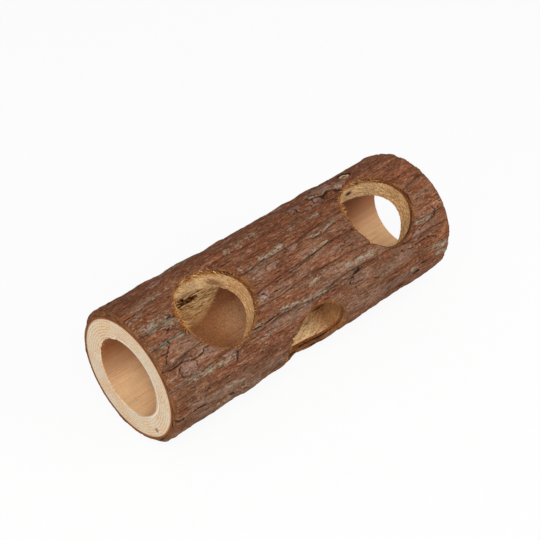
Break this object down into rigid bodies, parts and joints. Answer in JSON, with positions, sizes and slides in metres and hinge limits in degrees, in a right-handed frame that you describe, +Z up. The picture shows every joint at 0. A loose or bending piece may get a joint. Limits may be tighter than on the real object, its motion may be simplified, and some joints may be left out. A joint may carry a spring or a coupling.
{
  "type": "hamster tunnel",
  "caption": "Natural log with furrowed bark, bored from end to end as a small-pet tunnel, with round doorways drilled through its top and side.",
  "frame": {"origin": "centre of the bounding box on the ground the log lies on", "axes": "+X along the log from the front sawn end to the rear one, +Z up as the log lies, with its top doorways leaning 28 degrees towards -Y and the side doorway facing -Y"},
  "size_m": [0.2, 0.0737, 0.0739],
  "materials": {
    "wood": "sawn and drilled, unfinished",
    "inner_bark": "smooth, fibrous",
    "outer_bark": "rough, dry",
    "knot_wood": "weathered end grain"
  },
  "bodies": {
    "root": {"wood_tube": "wood", "inner_bark": "inner_bark", "knot": "knot_wood", "knot_collar": "outer_bark", "bark_strip_01": "outer_bark", "bark_strip_02": "outer_bark", "bark_strip_03": "outer_bark", "bark_strip_04": "outer_bark", "bark_strip_05": "outer_bark", "bark_strip_06": "outer_bark", "bark_strip_07": "outer_bark", "bark_strip_08": "outer_bark", "bark_strip_09": "outer_bark", "bark_strip_10": "outer_bark", "bark_strip_11": "outer_bark", "bark_strip_12": "outer_bark", "bark_strip_13": "outer_bark", "bark_strip_14": "outer_bark", "bark_strip_15": "outer_bark", "bark_strip_16": "outer_bark", "bark_strip_17": "outer_bark", "bark_strip_18": "outer_bark"}
  },
  "joints": []
}
